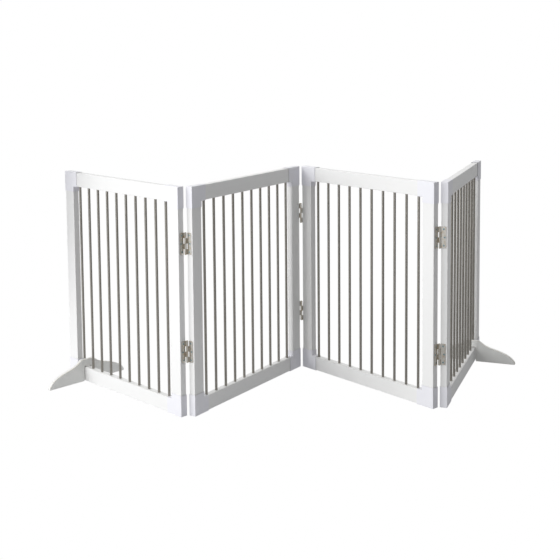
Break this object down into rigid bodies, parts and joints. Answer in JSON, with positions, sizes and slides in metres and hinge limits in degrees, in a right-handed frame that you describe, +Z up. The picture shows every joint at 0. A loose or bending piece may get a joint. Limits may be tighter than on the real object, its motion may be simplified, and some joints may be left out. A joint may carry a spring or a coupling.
{
  "type": "folding pet gate",
  "caption": "Free-standing folding pet gate: white wooden frames with corner sleeves and upright steel bars, joined by butt hinges, on wave-topped slotted feet.",
  "frame": {"origin": "on the floor, under the middle of the bounding box of the gate as it stands", "axes": "+X from the gate's left end to its right end seen from its front, +Y from its front to its back, +Z up"},
  "size_m": [1.3718, 0.5378, 0.61],
  "materials": {
    "frame_paint": "solid wood under smooth satin white paint, edges eased",
    "foot_paint": "board cut to a wave, white paint a little thin on the rounded edges",
    "sleeve_plastic": "moulded cool-white plastic, fine satin",
    "bar_steel": "drawn steel rod, satin nickel",
    "hinge_nickel": "stamped steel, nickel plated",
    "screw_steel": "zinc plated steel",
    "dowel_wood": "bare fluted beech, hidden"
  },
  "bodies": {
    "panel_2": {"panel_2_bars": "bar_steel", "panel_2_bottom_left_sleeve": "sleeve_plastic", "panel_2_bottom_rail": "frame_paint", "panel_2_bottom_right_sleeve": "sleeve_plastic", "panel_2_dowels": "dowel_wood", "panel_2_hinge_pins": "hinge_nickel", "panel_2_hinge_screws": "screw_steel", "panel_2_left_lower_leaf": "hinge_nickel", "panel_2_left_stile": "frame_paint", "panel_2_left_upper_leaf": "hinge_nickel", "panel_2_right_lower_leaf": "hinge_nickel", "panel_2_right_stile": "frame_paint", "panel_2_right_upper_leaf": "hinge_nickel", "panel_2_top_left_sleeve": "sleeve_plastic", "panel_2_top_rail": "frame_paint", "panel_2_top_right_sleeve": "sleeve_plastic"},
    "panel_1": {"panel_1_bars": "bar_steel", "panel_1_bottom_left_sleeve": "sleeve_plastic", "panel_1_bottom_rail": "frame_paint", "panel_1_bottom_right_sleeve": "sleeve_plastic", "panel_1_dowels": "dowel_wood", "panel_1_hinge_screws": "screw_steel", "panel_1_left_stile": "frame_paint", "panel_1_right_lower_leaf": "hinge_nickel", "panel_1_right_stile": "frame_paint", "panel_1_right_upper_leaf": "hinge_nickel", "panel_1_top_left_sleeve": "sleeve_plastic", "panel_1_top_rail": "frame_paint", "panel_1_top_right_sleeve": "sleeve_plastic"},
    "panel_3": {"panel_3_bars": "bar_steel", "panel_3_bottom_left_sleeve": "sleeve_plastic", "panel_3_bottom_rail": "frame_paint", "panel_3_bottom_right_sleeve": "sleeve_plastic", "panel_3_dowels": "dowel_wood", "panel_3_hinge_pins": "hinge_nickel", "panel_3_hinge_screws": "screw_steel", "panel_3_left_lower_leaf": "hinge_nickel", "panel_3_left_stile": "frame_paint", "panel_3_left_upper_leaf": "hinge_nickel", "panel_3_right_lower_leaf": "hinge_nickel", "panel_3_right_stile": "frame_paint", "panel_3_right_upper_leaf": "hinge_nickel", "panel_3_top_left_sleeve": "sleeve_plastic", "panel_3_top_rail": "frame_paint", "panel_3_top_right_sleeve": "sleeve_plastic"},
    "panel_4": {"panel_4_bars": "bar_steel", "panel_4_bottom_left_sleeve": "sleeve_plastic", "panel_4_bottom_rail": "frame_paint", "panel_4_bottom_right_sleeve": "sleeve_plastic", "panel_4_dowels": "dowel_wood", "panel_4_hinge_screws": "screw_steel", "panel_4_left_lower_leaf": "hinge_nickel", "panel_4_left_stile": "frame_paint", "panel_4_left_upper_leaf": "hinge_nickel", "panel_4_right_stile": "frame_paint", "panel_4_top_left_sleeve": "sleeve_plastic", "panel_4_top_rail": "frame_paint", "panel_4_top_right_sleeve": "sleeve_plastic"},
    "left_foot_body": {"left_foot": "foot_paint"},
    "right_foot_body": {"right_foot": "foot_paint"}
  },
  "joints": [
    {"name": "fold_1_2", "type": "hinge", "parent": "panel_2", "child": "panel_1", "pos_m": [-0.26825, -0.25605, 0.3], "axis": [0, 0, 1], "range_deg": [-62.7, 100.3]},
    {"name": "fold_2_3", "type": "hinge", "parent": "panel_2", "child": "panel_3", "pos_m": [0.03849, 0.15688, 0.3], "axis": [0, 0, 1], "range_deg": [-59.1, 103.9]},
    {"name": "fold_3_4", "type": "hinge", "parent": "panel_3", "child": "panel_4", "pos_m": [0.39908, -0.20997, 0.3], "axis": [0, 0, -1], "range_deg": [-45.2, 117.8]},
    {"name": "left_foot_lift", "type": "slide", "parent": "panel_1", "child": "left_foot_body", "axis": [0, 0, 1], "range_m": [0, 0.05]},
    {"name": "right_foot_lift", "type": "slide", "parent": "panel_4", "child": "right_foot_body", "axis": [0, 0, 1], "range_m": [0, 0.05]}
  ]
}
